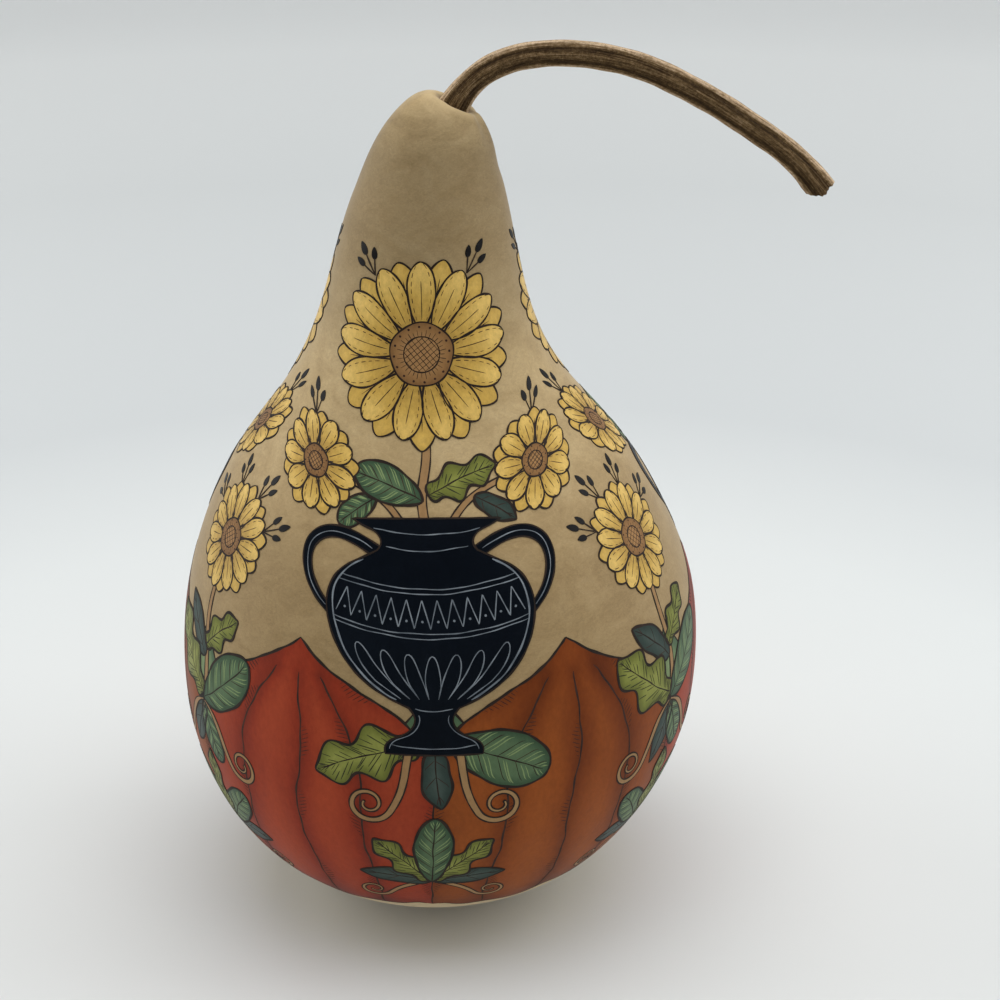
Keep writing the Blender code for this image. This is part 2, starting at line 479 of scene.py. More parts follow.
COAT_NAMES = (
    "petals_red", "petals_orange", "sepals", "urns", "gold_petals", "flower_centres", "leaves_olive",
    "leaves_forest", "leaves_slate", "leaf_lights", "tendrils", "buds", "burned_lines", "bloom_outlines",
    "leaf_lines", "fine_marks", "scratched_lines",
)
COATS = {coat_name: Coat(coat_name) for coat_name in COAT_NAMES}
BURNED = COATS["burned_lines"]
BLOOM_LINES = COATS["bloom_outlines"]
FINE = COATS["fine_marks"]


def shading(place, path, runs, side, level, longest=3.4):
    """Runs of short slanted strokes beside a line, the longest in the middle of each run."""
    path = resample(path, 0.5)
    tangent = unit(np.gradient(path, axis=0))
    for share in (np.arange(runs) + 0.5) / runs:
        middle = int((share + RNG.uniform(-0.15, 0.15) / runs) * (len(path) - 1))
        for k in range(-4, 5):
            at = middle + 3 * k
            if not 0 <= at < len(path):
                continue
            forward = tangent[at]
            across = side * np.array([-forward[1], forward[0]])
            reach = longest * (1.0 - (k / 5.0) ** 2) * RNG.uniform(0.8, 1.15)
            start = path[at] + 0.5 * across
            end = start + reach * (0.45 * forward + 0.9 * across)
            stroke(FINE, place, [start, end], 0.27, level, taper=0.4)


# The ring of broad petals round the lower body

PETAL_FOOT_HEIGHT = 25.0
PETAL_SHOULDER_HEIGHT = 90.0
PETAL_TIP_HEIGHT = 134.0
PETAL_LEVEL = 1
SEPAL_HEIGHT = 84.0


def petal_side():
    """The right-hand flank and crown of a petal, upwards from the sheet's origin at its foot."""
    foot, shoulder, tip = (reach_at(h) for h in (PETAL_FOOT_HEIGHT, PETAL_SHOULDER_HEIGHT, PETAL_TIP_HEIGHT))
    up = np.linspace(foot, shoulder, 70)
    flank = np.stack([0.5 * SECTOR * radius_at(up), up - foot], axis=1)
    wide, high = flank[-1]
    rise = tip - shoulder
    lower, upper = (wide, high + 0.60 * rise), (0.36 * wide, high + 0.62 * rise)
    return flank, bezier(flank[-1], lower, upper, (0.0, tip - foot), 44)


def petal_vein(flank, tip, share):
    """A line up the inside of a petal that keeps its share of the half width, then bends to the tip."""
    heights = tip * np.array([0.0, 0.15, 0.32, 0.5, 0.66, 0.80, 0.90])
    narrow = np.array([1.0, 1.0, 1.02, 1.0, 0.88, 0.62, 0.34])
    half = np.interp(heights, flank[:, 1], flank[:, 0])
    sway = np.array([0.0, 1.3, -0.6, -1.5, 0.8, 0.5, 0.0]) * (1.0 if share >= 0.0 else -1.0)
    return curve(np.stack([share * half * narrow + sway, heights], axis=1), 1.0)


def draw_petal(index):
    turn_deg = math.degrees(SECTOR) * (index + 0.5)
    place = sheet_at(turn_deg, PETAL_FOOT_HEIGHT)
    flank, crown = petal_side()
    side = np.vstack([flank, crown[1:]])
    mirrored = side * (-1.0, 1.0)
    veins = [petal_vein(flank, side[-1, 1], share) for share in (-0.52, 0.03, 0.52)]
    foot_x = np.linspace(mirrored[0, 0], side[0, 0], 40)[1:-1]
    wave = 2.6 * np.sin(foot_x / 9.0 + 2.0 * index) + 1.1 * np.sin(foot_x / 3.3 + 2.0 * index)
    ends = smoothstep(0.0, 5.0, side[0, 0] - np.abs(foot_x))
    foot = np.stack([foot_x, wave * ends], axis=1)
    outline = np.vstack([foot, side, mirrored[::-1][1:]])
    lines = [resample(vein, 4.0) for vein in veins]

    def shade(points, away):
        near_vein = np.min([path_distance(points, line) for line in lines], axis=0)
        glow = 0.98 - 0.70 * np.exp(-near_vein / 6.0) - 0.55 * np.exp(-away / 6.0)
        return np.clip(glow + 0.22 * smoothstep(60.0, 150.0, points[:, 1]), 0.0, 1.0)

    coat = COATS["petals_orange" if index % 2 == 0 else "petals_red"]
    fill(coat, place, outline, PETAL_LEVEL, 2.4, shade)
    stroke(BURNED, place, shaky(flank, 0.3), 0.55, PETAL_LEVEL)
    for flip in (1.0, -1.0):
        edge = crown * (flip, 1.0)
        stroke(BURNED, place, shaky(edge, 0.25), OUTLINE, PETAL_LEVEL, step=0.7)
        shading(place, edge[:-8], 2, flip, PETAL_LEVEL)
        shading(place, flank[8:-4] * (flip, 1.0), 3, flip, PETAL_LEVEL)
    for number, vein in enumerate(veins):
        stroke(FINE, place, shaky(vein, 0.45), 0.62, PETAL_LEVEL, taper=0.3)
        shading(place, vein[4:-6], 3, 1.0 if (number + index) % 2 else -1.0, PETAL_LEVEL)
    stroke(BURNED, place, shaky(foot, 0.3), 0.6, PETAL_LEVEL)


def draw_sepal(index):
    """A pointed green leaf that shows behind the notch between two petals."""
    place = sheet_at(math.degrees(SECTOR) * index, SEPAL_HEIGHT)
    half = bezier((25.0, 0.0), (25.0, 16.0), (8.0, 24.0), (0.0, 42.0), 30)
    other = half * (-1.0, 1.0)
    fill(COATS["sepals"], place, np.vstack([half, other[::-1][1:]]), 0, 2.4, soft_edge)
    for side in (half, other):
        stroke(BURNED, place, shaky(side, 0.3), 0.7, 0)
    stroke(BURNED, place, shaky(np.array([[0.0, 6.0], [0.0, 38.0]]), 0.2), 0.4, 0)


# Leaves, blossoms, tendrils and buds


def soft_edge(points, away):
    return np.clip(0.2 + away / 6.0, 0.0, 1.0)


def leaf_sides(length, width, bend, full=0.6, point=0.9, lobes=0.0, depth=0.0):
    """Left side, right side and midrib of a leaf that lies along +Y from its base at the origin."""
    t = 0.5 - 0.5 * np.cos(np.linspace(0.0, math.pi, max(24, int(length / 0.6))))
    rib = np.stack([bend * length * t**2, length * t], axis=1)
    normal = unit(np.stack([-np.ones(len(t)), 2.0 * bend * t], axis=1))
    belly = t**full * (1.0 - t) ** point
    belly /= belly.max()
    sides = []
    for sign, phase in ((1.0, 0.0), (-1.0, 0.7)):
        wavy = 1.0 - depth + depth * np.cos(FULL_TURN * lobes * t + phase)
        sides.append(rib + (sign * 0.5 * width * belly * wavy)[:, None] * normal)
    return sides[0], sides[1], rib


ENGRAVED_GAP = 1.15
LEAF_SHAPES = {
    "olive": {"lobes": 2.4, "depth": 0.24, "full": 0.45, "point": 0.55},
    "forest": {"full": 0.75, "point": 0.55},
    "slate": {"lobes": 1.3, "depth": 0.12, "full": 0.6, "point": 0.8},
}


def joined(left, right):
    """One closed outline from two sides that meet at both ends."""
    return np.vstack([left, right[::-1][1:-1]])


def draw_leaf(place, kind, at, angle_deg, length, width, level, bend):
    left, right, rib = leaf_sides(length, width, bend, **LEAF_SHAPES[kind])
    left, right = (put(shaky(side, 0.3), angle_deg, at) for side in (left, right))
    rib = put(rib, angle_deg, at)
    outline = joined(left, right)
    fill(COATS["leaves_" + kind], place, outline, level, 1.4, soft_edge)
    for side in (left, right):
        stroke(BURNED, place, side, OUTLINE, level, step=0.7, taper=0.8)
    stroke(BURNED, place, shaky(rib[: int(0.86 * len(rib))], 0.25), 0.45, level, taper=0.3)
    if kind == "olive":
        engrave(place, outline, left, right, rib, level)
        return
    shares = vein_shares(5 if kind == "forest" else 3)
    for share in shares:
        for side in (left, right):
            stroke(FINE, place, side_vein(side, rib, share, 0.8), 0.28, level, taper=0.3)
    if kind == "forest":
        vein_lights(place, left, right, rib, level, shares)


def vein_shares(count):
    return 0.16 + 0.62 * (np.arange(count) + 0.5) / count


def side_vein(side, rib, share, reach):
    """A gently curved line from the midrib towards the leaf's edge, as a share of the way there."""
    start = rib[int(share * len(rib))]
    end = start + reach * (side[min(int((share + 0.15) * len(side)), len(side) - 1)] - start)
    ahead = rib[min(int((share + 0.10) * len(rib)), len(rib) - 1)]
    return bezier(start, start + 0.4 * (end - start), end - 0.25 * (ahead - start), end, 8)


def vein_lights(place, left, right, rib, level, shares):
    """Pale brush strokes between the side veins."""
    for share in shares:
        for side in (left, right):
            for ahead in (0.030, 0.062):
                light = side_vein(side, rib, share + ahead, RNG.uniform(0.78, 0.90))
                light = shaky(resample(light, 0.5)[2:], 0.2)
                width = RNG.uniform(0.32, 0.5)
                stroke(COATS["leaf_lights"], place, light, width, level, taper=0.15, rise=0.012)


def engrave(place, outline, left, right, rib, level):
    """Fine lines that run slantwise from the midrib, and shorter ones that run in from the edge."""
    count = int(distances_along(rib)[-1] / ENGRAVED_GAP)
    for number in range(1, count):
        share = number / count
        start = rib[int(share * (len(rib) - 1))]
        for side in (left, right):
            end = side[min(int((share + 0.13) * len(side)), len(side) - 1)]
            low, high = (0.07, RNG.uniform(0.45, 0.92)) if number % 3 else (RNG.uniform(0.45, 0.6), 0.94)
            run = start + (end - start) * np.linspace(low, high, 24)[:, None]
            run = run[is_inside(run, outline)]
            run = run[edge_distance(run, outline) > 0.4] if len(run) else run
            if len(run) > 3:
                stroke(COATS["leaf_lines"], place, run, 0.34, level, step=1.4, taper=0.5)


def draw_band(place, path, width, level, tip=0.5, root=1.0):
    """A ribbon of tan paint between two burned lines."""
    edges = band_outline(path, width, tip, root)
    left, right = (rind_at(*place(edge)) for edge in edges)
    add_strip(COATS["tendrils"], left, right, rind_normal(*place(path)), level_lift(level))
    for edge in edges:
        stroke(BURNED, place, edge, 0.5, level, step=0.75, taper=0.7)
    for end in (0, -1):
        stroke(BURNED, place, [edges[0][end], edges[1][end]], 0.5, level, step=0.4, taper=0.9)


def draw_scroll(place, start, lead, centre, size, level, width=2.4, turns=1.55, flip=1.0, root=1.0):
    """A tendril that leaves start along lead and winds inwards round centre, as a volute."""
    total = FULL_TURN * turns
    wound = np.linspace(0.0, total, int(total * size / 0.9))
    radius = size * (1.0 - 0.80 * (wound / total) ** 0.85)
    winding = centre + radius[:, None] * on_circle(math.radians(195.0) + wound)
    entry = unit(winding[1] - winding[0])
    reach = 0.42 * np.linalg.norm(winding[0] - start)
    lead = unit(np.array(lead))
    lead_in = bezier(start, start + reach * lead, winding[0] - reach * entry, winding[0], 40)
    path = resample(np.vstack([lead_in, winding[1:]]), 0.5) * (flip, 1.0)
    draw_band(place, path, width, level, tip=0.34, root=root)


BUDS = ((1.0, 5.4, -27.0), (1.16, 7.5, 0.0), (1.0, 5.4, 27.0))  # size, length of stalk, angle in degrees


def draw_buds(place, at, angle_deg, level):
    """Small dark pointed buds on short stalks that fan out from one place."""
    for size, stalk, angle in BUDS:
        way = heading(angle_deg + angle)
        tip = at + stalk * way
        stroke(BURNED, place, [at, tip], 0.42, level, taper=0.8)
        left, right, _ = leaf_sides(4.0 * size, 2.2 * size, 0.0, full=0.5, point=0.75)
        outline = put(joined(left, right), angle_deg + angle, tip - 0.3 * way)
        fill(COATS["buds"], place, outline, level + 0.4, 1.2)


def draw_bloom(place, centre, petals, inner, outer, level, start_deg=0.0):
    """A round bloom: a back row and a front row of pointed gold petals, and a brown middle."""
    foot = 0.65 * inner
    width = FULL_TURN * (foot + 0.55 * (outer - foot)) / petals * 0.97
    for row, share in ((0, 1.03), (1, 0.96)):
        for number in range(petals):
            angle = start_deg + 360.0 * (number + 0.5 * (1 - row)) / petals
            length = (outer - foot) * share * RNG.uniform(0.96, 1.03)
            bend = RNG.uniform(-0.05, 0.05)
            left, right, rib = leaf_sides(length, width, bend, full=1.0, point=0.62)
            base = centre + foot * heading(angle)
            sides = [put(shaky(side, 0.18), angle, base) for side in (left, right)]
            tone = gold_tone(centre, inner, outer, 0.0 if row else -0.30)
            fill(COATS["gold_petals"], place, joined(*sides), level + row, 1.4, tone)
            for side in sides:
                shown = side[int(0.1 * len(side)) :]
                stroke(BLOOM_LINES, place, shown, 0.62, level + row, step=0.75, taper=0.8)
            for side in (left, right) if row else ():
                inset = rib + 0.68 * (side - rib)
                inset = put(inset[int(0.28 * len(inset)) : int(0.90 * len(inset))], angle, base)
                dashes(FINE, place, inset, 0.27, level + row, dash=1.9, gap=0.9)
            middle = put(rib[int(0.3 * len(rib)) : int(0.68 * len(rib))], angle, base)
            stroke(FINE, place, middle, 0.26, level + row, taper=0.3)
    draw_middle(place, centre, inner, level + 2)


def gold_tone(centre, inner, outer, offset):
    def tone(points, away):
        out = np.linalg.norm(points - centre, axis=1)
        glow = 0.15 + 0.6 * smoothstep(inner, outer, out) + 0.22 * np.clip(away / 2.5, 0.0, 1.0)
        return np.clip(offset + glow, 0.0, 1.0)

    return tone


def draw_middle(place, centre, radius, level):
    """The brown middle of a bloom: a ring of dots and a ring of spokes, round a cross-hatched heart."""
    angles = round_turns(max(24, int(radius * 8)))
    circle = on_circle(angles)
    rim = centre + radius * circle * (1.0 + 0.02 * np.sin(5.0 * angles))[:, None]
    fill(COATS["flower_centres"], place, rim, level, 1.2, soft_edge)
    heart = 0.56 * radius
    for ring, width in ((rim, 0.55), (centre + heart * circle, 0.42)):
        stroke(BLOOM_LINES, place, np.vstack([ring, ring[:1]]), width, level, step=0.6, taper=1.0)
    spokes = int(FULL_TURN * heart / 1.15)
    for spoke, way in enumerate(on_circle(round_turns(spokes))):
        outer = (0.78 if spoke % 2 else 0.72) * radius
        stroke(FINE, place, [centre + heart * way, centre + outer * way], 0.24, level, taper=0.6)
    seeds = spokes // 2
    for way in on_circle(round_turns(seeds) + 0.25 * FULL_TURN / seeds):
        dot(FINE, place, centre + 0.87 * radius * way, 0.028 * radius + 0.12, level, rise=0.03, sides=9)
    gap = 1.5 if radius > 6.0 else 1.2
    for along in on_circle(np.array([0.7, 0.7 + 0.25 * FULL_TURN])):
        across = np.array([-along[1], along[0]])
        for offset in np.arange(-heart + 0.6 * gap, heart, gap):
            half = math.sqrt(max(heart**2 - offset**2, 0.0)) * 0.94
            ends = [centre + across * offset + along * s * half for s in (-1.0, 1.0)]
            stroke(FINE, place, ends, 0.22, level, taper=0.9)


# The dark urns

URN_FOOT_HEIGHT = 100.0
URN_LEVEL = 5
URN_FOOT = ((16.0, 0.0), (16.2, 2.2), (15.2, 4.2), (11.0, 6.6), (7.2, 9.6), (6.2, 13.0), (8.2, 16.6))
URN_BELLY = (
    (8.2, 16.6), (18.5, 21.5), (28.5, 30.0), (34.0, 41.0),
    (34.4, 51.0), (29.6, 59.6), (21.0, 65.0), (16.2, 67.6),
)
URN_NECK = ((16.2, 67.6), (14.9, 70.2), (16.0, 72.8), (20.5, 75.0), (24.6, 77.0))
URN_MOUTH = 77.0
URN_HANDLE = (
    (15.5, 66.5), (24.0, 70.8), (33.0, 71.5), (40.0, 66.5), (41.5, 58.5), (38.0, 50.5), (32.5, 45.0),
)
URN_BANDS = (  # height and sag of the lines across it
    (3.4, 1.0), (16.4, 0.9), (43.5, 4.0), (45.0, 4.0),
    (57.0, 3.0), (58.6, 3.0), (69.0, 1.2), (74.6, 1.4),
)
ZIGZAG_ROWS = ((46.6, 3.9), (55.2, 3.1))
ZIGZAG_TEETH = 12
ARCHES = 7
ARCH_FOOT = 19.6


def urn_side():
    foot, belly, neck = (curve(part, 0.9) for part in (URN_FOOT, URN_BELLY, URN_NECK))
    return np.vstack([foot, belly[1:], neck[1:]])


def urn_half_width(y, side):
    order = np.argsort(side[:, 1])
    return np.interp(y, side[order, 1], side[order, 0])


def draw_urn(turn_deg):
    place = sheet_at(turn_deg, URN_FOOT_HEIGHT)
    side = urn_side()
    left = side * (-1.0, 1.0)
    lip_x = np.linspace(side[-1, 0], left[-1, 0], 30)[1:-1]
    lip = np.stack([lip_x, URN_MOUTH + 1.6 * (1.0 - (lip_x / side[-1, 0]) ** 2)], axis=1)
    outline = np.vstack([side, lip, left[::-1]])
    for flip in (1.0, -1.0):
        handle = curve(URN_HANDLE, 0.9) * (flip, 1.0)
        edge_a, edge_b = band_outline(handle, 4.2, 0.62)
        fill(COATS["urns"], place, np.vstack([edge_a, edge_b[::-1]]), URN_LEVEL - 1, 1.4)
        for edge in (edge_a, edge_b):
            stroke(BURNED, place, edge, 0.5, URN_LEVEL - 1)
        stroke(COATS["scratched_lines"], place, shaky(handle[3:-4], 0.2), 0.3, URN_LEVEL - 1)
    fill(COATS["urns"], place, outline, URN_LEVEL, 2.0)
    stroke(BURNED, place, np.vstack([outline, outline[:1]]), 0.6, URN_LEVEL)
    scratch_urn(place, side)


def scratch_urn(place, side):
    """The pale lines scratched in the dark paint: inset edges, bands, arches and a zigzag with dots."""
    pale = COATS["scratched_lines"]

    def scratch(path, width):
        stroke(pale, place, shaky(path, 0.2), width, URN_LEVEL, step=0.8)

    def across(y, sag, inset):
        half = urn_half_width(y, side) - inset
        x = np.linspace(-half, half, 40)
        return np.stack([x, y - sag * (1.0 - (x / half) ** 2)], axis=1)

    body = side[(side[:, 1] > 19.0) & (side[:, 1] < 64.5)]
    t = np.linspace(0.0, 1.0, len(body))
    body = body - np.stack([1.9 + 0.4 * np.sin(4.0 * t), 0.0 * t], axis=1)
    foot = side[(side[:, 1] > 1.5) & (side[:, 1] < 15.0)] - (1.6, 0.0)
    for flip in (1.0, -1.0):
        scratch(body * (flip, 1.0), 0.55)
        scratch(foot * (flip, 1.0), 0.3)
    for y, sag in URN_BANDS:
        scratch(across(y, sag, 2.0), 0.32)
    number = np.arange(2 * ZIGZAG_TEETH + 1)
    rows = [across(y, sag, 3.4) for y, sag in ZIGZAG_ROWS]
    wanted = number / number[-1] * (len(rows[0]) - 1)
    low, high = ([np.interp(wanted, np.arange(len(row)), line) for line in row.T] for row in rows)
    zigzag = np.where(number % 2, high, low).T
    stroke(pale, place, zigzag, 0.36, URN_LEVEL, step=0.5, taper=0.8)
    for number in range(1, 2 * ZIGZAG_TEETH, 2):
        middle = np.mean(zigzag[number - 1 : number + 2], axis=0)
        dot(pale, place, middle - (0.0, 0.8), 0.42, URN_LEVEL, rise=0.02, sides=8)
    s = np.linspace(0.0, 1.0, 26)
    for number in range(ARCHES):
        u = 2.0 * (number + s) / ARCHES - 1.0
        y = ARCH_FOOT + (18.4 - 4.0 * (1.0 - u * u)) * np.sin(math.pi * s) ** 0.6
        scratch(np.stack([u * (urn_half_width(y, side) - 4.2), y], axis=1), 0.34)


# The layout: bouquets in the urns, sprays between them, and small fans of leaves low down

BOUQUET_HEIGHT = 171.0
SPRAY_HEIGHT = 96.0
PALMETTE_HEIGHT = 44.0
TALL_BLOOM = {"centre": (0.0, 57.0), "petals": 13, "inner": 10.5, "outer": 31.0}
SIDE_BLOOM = {"petals": 9, "inner": 5.4, "outer": 16.5}
SIDE_BLOOM_CENTRE = (39.0, 17.0)
LONE_BLOOM = {"centre": (0.0, 60.0), "petals": 11, "inner": 6.6, "outer": 19.5}

# Leaves: kind, place on the sheet, angle in degrees, length, width, level and bend.
BOUQUET_LEAVES = (
    ("forest", (-1.0, 8.0), 58.0, 24.0, 13.0, 3, -0.2),
    ("olive", (1.0, 10.0), -58.0, 24.0, 14.0, 3, 0.2),
    ("slate", (16.0, 9.0), -118.0, 17.0, 8.0, 2, 0.1),
    ("forest", (-16.0, 9.0), 122.0, 17.0, 8.5, 2, -0.1),
)
URN_LEAVES = (
    ("slate", (0.0, 2.0), 182.0, 23.0, 12.0, 2, -0.08),
    ("olive", (-5.0, 4.0), 104.0, 38.0, 21.0, 3, -0.14),
    ("forest", (5.0, 4.0), -106.0, 36.0, 20.0, 3, 0.12),
)
SPRAY_LEAVES = (
    ("olive", (0.0, 2.0), 60.0, 36.0, 21.0, 4, 0.16),
    ("forest", (0.0, 0.0), -58.0, 34.0, 18.0, 4, -0.18),
    ("slate", (0.0, 16.0), 42.0, 25.0, 11.0, 3, -0.1),
    ("olive", (0.0, 20.0), -42.0, 23.0, 13.0, 3, 0.12),
    ("slate", (0.0, 0.0), 160.0, 24.0, 11.0, 2, 0.1),
    ("forest", (0.0, 0.0), -162.0, 24.0, 12.0, 2, -0.1),
)


def draw_leaves(place, leaves):
    for leaf in leaves:
        draw_leaf(place, *leaf)


def buds_round(place, centre, outer, angles):
    """Fans of buds that stand out from behind a bloom."""
    for angle in angles:
        draw_buds(place, centre + (outer - 1.5) * heading(angle), angle, 3)


def draw_bouquet(turn_deg):
    place = sheet_at(turn_deg, BOUQUET_HEIGHT)
    stalk = curve([(0.0, -2.0), (-1.2, 10.0), (0.6, 22.0), (0.0, 36.0)], 0.8)
    draw_band(place, stalk, 3.0, 2, tip=0.9)
    for flip in (1.0, -1.0):
        side_stalk = curve([(6.0, -3.0), (13.0, 7.0), (24.0, 13.0), (36.0, 16.0)], 0.8) * (flip, 1.0)
        draw_band(place, side_stalk, 2.3, 1, tip=0.8)
    draw_leaves(place, BOUQUET_LEAVES)
    for flip in (1.0, -1.0):
        centre = np.array(SIDE_BLOOM_CENTRE) * (flip, 1.0)
        draw_bloom(place, centre, **SIDE_BLOOM, level=4, start_deg=12.0)
        buds_round(place, centre, SIDE_BLOOM["outer"], (-4.0 * flip,))
    draw_bloom(place, **TALL_BLOOM, level=4)
    buds_round(place, TALL_BLOOM["centre"], TALL_BLOOM["outer"], (-30.0, 33.0))


def draw_urn_leaves(turn_deg):
    """Leaves and tendrils that spill over the petals from behind an urn's foot."""
    place = sheet_at(turn_deg, URN_FOOT_HEIGHT)
    draw_leaves(place, URN_LEAVES)
    for flip in (1.0, -1.0):
        draw_scroll(place, (8.0, 3.0), (0.2, -1.0), (22.0, -20.0), 8.0, 4, width=2.7, flip=flip)


def draw_spray(turn_deg):
    """A smaller spray of leaves with one bloom, between two urns."""
    place = sheet_at(turn_deg, SPRAY_HEIGHT)
    stalk = curve([(0.0, -4.0), (1.6, 14.0), (-1.2, 32.0), (0.0, 50.0)], 0.8)
    draw_band(place, stalk, 2.6, 2, tip=0.8, root=0.4)
    draw_leaves(place, SPRAY_LEAVES)
    draw_bloom(place, **LONE_BLOOM, level=4, start_deg=8.0)
    buds_round(place, LONE_BLOOM["centre"], LONE_BLOOM["outer"], (-64.0, -22.0, 22.0, 64.0))
    for flip in (1.0, -1.0):
        draw_scroll(place, (0.5, -1.0), (1.0, -0.35), (23.0, -17.0), 7.5, 3, width=2.5, flip=flip, root=0.35)


def draw_palmette(turn_deg, swapped):
    """A fan of five leaves with a volute at each side, low on the seam between two petals."""
    place = sheet_at(turn_deg, PALMETTE_HEIGHT)
    middle, outer = ("olive", "forest") if swapped else ("forest", "olive")
    for flip in (1.0, -1.0):
        finish = {"width": 2.1, "turns": 1.4, "flip": flip, "root": 0.4}
        draw_scroll(place, (0.5, -0.5), (1.0, -0.4), (20.0, -9.5), 6.0, 2, **finish)
        draw_leaf(place, "slate", (0.0, 0.0), -76.0 * flip, 25.0, 10.0, 3, 0.12 * flip)
        draw_leaf(place, outer, (0.0, 0.0), -38.0 * flip, 30.0, 13.0, 4, 0.08 * flip)
    draw_leaf(place, middle, (0.0, -1.0), 0.0, 34.0, 13.0, 5, 0.02)


def draw_everything():
    for index in range(PETALS):
        draw_sepal(index)
        draw_petal(index)
        draw_palmette(math.degrees(SECTOR) * index, index % 2 == 1)
    for index in range(BOUQUETS):
        turn_deg = 360.0 * index / BOUQUETS
        draw_urn_leaves(turn_deg)
        draw_bouquet(turn_deg)
        draw_urn(turn_deg)
        draw_spray(turn_deg + 180.0 / BOUQUETS)


# The rind

SCAR_REACH = 20.0


def scar(radius):
    """The height of the small ring in the middle of the flat spot, where the blossom was."""
    return 0.75 * np.exp(-((radius / 3.4) ** 2)) - 0.5 * np.exp(-((radius / 1.6) ** 2))


def make_rind():
    crown_from = reach_at(CROWN_RINGS_FROM)
    body = np.arange(BODY_RING_STEP, crown_from, BODY_RING_STEP)
    crown = np.arange(crown_from, REACH[-1], CROWN_RING_STEP)
    reach = np.concatenate([body, crown, REACH[-1:]])
    turn, rows = np.meshgrid(round_turns(SKIN_SIDES) - math.pi, reach)
    points = rind_at(turn, rows)
    points[..., 2] += np.where(rows < SCAR_REACH, scar(radius_at(rows)), 0.0)
    points = np.vstack([points.reshape(-1, 3), [0.0, 0.0, scar(0.0)], points[-1].mean(0)])
    near_stem = (REACH[TOP_ROW] - rows).ravel()
    near_stem = np.concatenate([near_stem, [REACH[TOP_ROW], near_stem[-1]]])
    under, over = len(points) - 2, len(points) - 1
    top = fan(SKIN_SIDES, over, under - SKIN_SIDES)
    faces = (ring_walls(len(reach), SKIN_SIDES), fan(SKIN_SIDES, under), flipped(top))
    rind = make_piece("gourd_rind", points, faces, {"near_stem": near_stem}, rind_material())
    rind.data.shade_smooth()
    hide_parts("gourd")


# The stem


def stem_radius(along, length):
    foot = (STEM_FOOT_RADIUS - STEM_RADIUS) * (1.0 - smoothstep(0.0, FOOT_FLARE_LENGTH, along))
    tip = (STEM_TIP_RADIUS - STEM_RADIUS) * smoothstep(length - TIP_FLARE_LENGTH, length, along)
    return STEM_RADIUS + foot + tip


def stem_crest(angle):
    """How far up a rib each place round the stem stands, from 0 to 1."""
    crest = np.zeros_like(angle)
    for middle, share in STEM_CRESTS:
        away = np.abs((angle - math.radians(middle) + math.pi) % FULL_TURN - math.pi)
        bump = np.cos(np.minimum(0.5 * STEM_RIDGES * away, 0.5 * math.pi)) ** 2.0
        crest = np.maximum(crest, share * bump)
    return crest


def make_stem():
    line = spline(STEM_LINE, STEM_RINGS)
    along = distances_along(line)[:, None]
    length = along[-1, 0]
    tangent = unit(np.gradient(line, axis=0))
    angle = round_turns(STEM_SIDES)[None]
    crest = stem_crest(angle)
    drift = 0.5 * np.sin(along / 23.0) + 0.3 * np.sin(along / 9.0 + 1.0)
    fibres = 0.055 * np.sin(19.0 * angle + drift) + 0.045 * np.sin(31.0 * angle - 2.0 * drift + 1.0)
    knots = 0.06 * np.sin(along / 4.1 + 3.0 * np.sin(2.0 * angle)) + 0.05 * np.sin(along / 1.9 + 5.0 * angle)
    ridge = RIDGE_HEIGHT * (2.0 * crest - 0.8) + fibres + knots * (0.35 + crest)
    radius = stem_radius(along, length) * (1.0 + ridge / STEM_RADIUS)
    side, rise = radius * np.cos(angle), radius * np.sin(angle)
    cut = np.interp(rise / STEM_TIP_RADIUS, *np.transpose(CUT_SLANT))
    cut = cut + 0.22 * np.sin(7.0 * angle + 1.0) + 0.15 * np.sin(17.0 * angle)
    cut = cut * smoothstep(length - CUT_LENGTH, length, along)
    x = line[:, 0, None] - rise * tangent[:, 1, None] + cut * tangent[:, 0, None]
    z = line[:, 1, None] + rise * tangent[:, 0, None] + cut * tangent[:, 1, None]
    rings = np.stack([x, -side, z], axis=-1)
    fibre = np.stack(np.broadcast_arrays(2.2 * np.cos(angle), 2.2 * np.sin(angle), 0.035 * along), axis=-1)
    back = np.array([tangent[-1, 0], 0.0, tangent[-1, 1]])
    rim, middle = rings[-1], rings[-1].mean(0)
    for share, sunk in CUT_RINGS:
        ragged = sunk + 0.22 * np.sin(9.0 * angle[0] + 7.0 * share)
        ragged += 0.15 * np.sin(23.0 * angle[0] + 3.0 * share)
        inner = middle + share * (rim - middle) - ragged[:, None] * back
        rings = np.concatenate([rings, inner[None]])
        fibre = np.concatenate([fibre, (fibre[-1] * (share, share, 1.0) + (0.0, 0.0, 0.2))[None]])
    ends = np.repeat((0.0, 1.0), (STEM_RINGS * STEM_SIDES, len(CUT_RINGS) * STEM_SIDES))
    crests = np.where(ends, 0.5, np.tile(crest[0], len(rings)))
    values = {
        "crest": np.r_[crests, 0.0, 0.5],
        "cut_end": np.r_[ends, 0.0, 1.0],
        "fibre": np.vstack([fibre.reshape(-1, 3), [0.0, 0.0, 0.0], [0.0, 0.0, 5.0]]),
    }
    points = np.vstack([rings.reshape(-1, 3), rings[0].mean(0), rings[-1].mean(0) - 0.3 * back])
    foot, tip = len(points) - 2, len(points) - 1
    last = fan(STEM_SIDES, tip, foot - STEM_SIDES)
    faces = (flipped(ring_walls(len(rings), STEM_SIDES)), flipped(fan(STEM_SIDES, foot)), last)
    stem = make_piece("stem_fibre", points, faces, values, stem_material())
    stem.data.shade_smooth()
    stem.data.set_sharp_from_angle(angle=math.radians(55.0))
    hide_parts("stem")


# Materials

SHEEN_ROUGHNESS = 0.35


